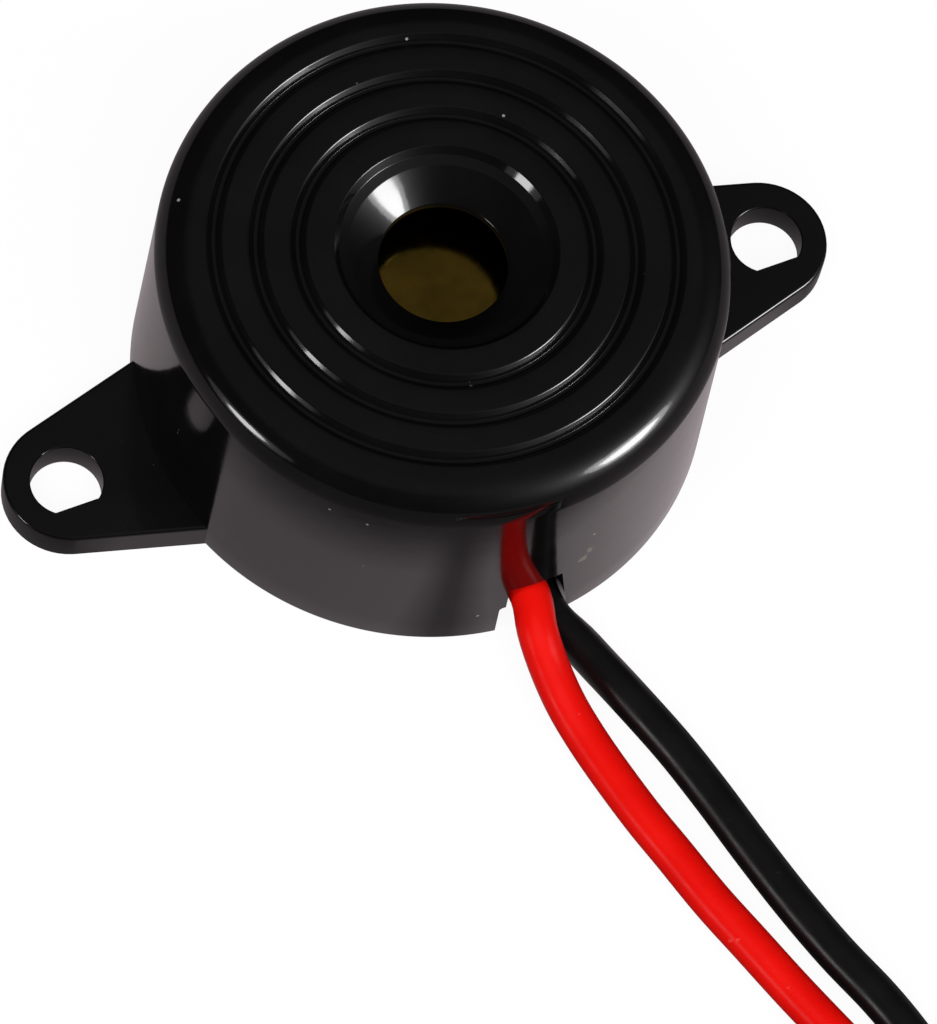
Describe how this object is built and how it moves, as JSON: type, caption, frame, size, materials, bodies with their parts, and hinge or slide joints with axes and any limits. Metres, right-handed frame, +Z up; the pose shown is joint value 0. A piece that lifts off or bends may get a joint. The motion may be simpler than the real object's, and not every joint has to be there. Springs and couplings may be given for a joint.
{
  "type": "piezo buzzer",
  "caption": "Round black moulded piezo sounder with two screw ears, a stepped sound hole over a brass disc, and red and black flying leads.",
  "frame": {"origin": "centre of the housing's underside", "axes": "+Z up out of the sound hole, X through both ear holes, -Y towards the lead notch"},
  "size_m": [0.0348, 0.0644, 0.0113],
  "materials": {
    "housing_plastic": "satin moulded black",
    "plate_plastic": "matt moulded black",
    "brass": "rolled, slightly tarnished",
    "piezo": "fired, matt",
    "silver": "fired silver, satin",
    "silicone": "cured adhesive",
    "board": "phenolic laminate",
    "component_black": "moulded epoxy",
    "ferrite": "sintered, matt",
    "copper": "enamelled winding wire",
    "tin": "tinned",
    "red_pvc": "glossy wire insulation",
    "black_pvc": "glossy wire insulation",
    "white_pvc": "thin wire insulation",
    "sealant": "hot-melt adhesive",
    "tie_plastic": "plastic-covered tie"
  },
  "bodies": {
    "root": {"housing": "housing_plastic", "back_plate": "plate_plastic", "diaphragm": "brass", "piezo_ceramic": "piezo", "main_electrode": "silver", "feedback_electrode": "silver", "diaphragm_bond": "silicone", "circuit_board": "board", "transistor_body": "component_black", "transistor_legs": "tin", "inductor_core": "ferrite", "inductor_winding": "copper", "base_resistor": "component_black", "bias_resistor": "component_black", "bleed_resistor": "component_black", "polarity_diode": "component_black", "brass_wire": "red_pvc", "electrode_wire": "black_pvc", "feedback_wire": "white_pvc", "wire_solder": "tin", "red_conductor": "tin", "black_conductor": "tin", "lead_solder": "tin", "lead_glue": "sealant", "red_lead": "red_pvc", "black_lead": "black_pvc", "lead_coil": "red_pvc", "coil_tie": "tie_plastic", "red_tip": "tin", "black_tip": "tin"}
  },
  "joints": []
}
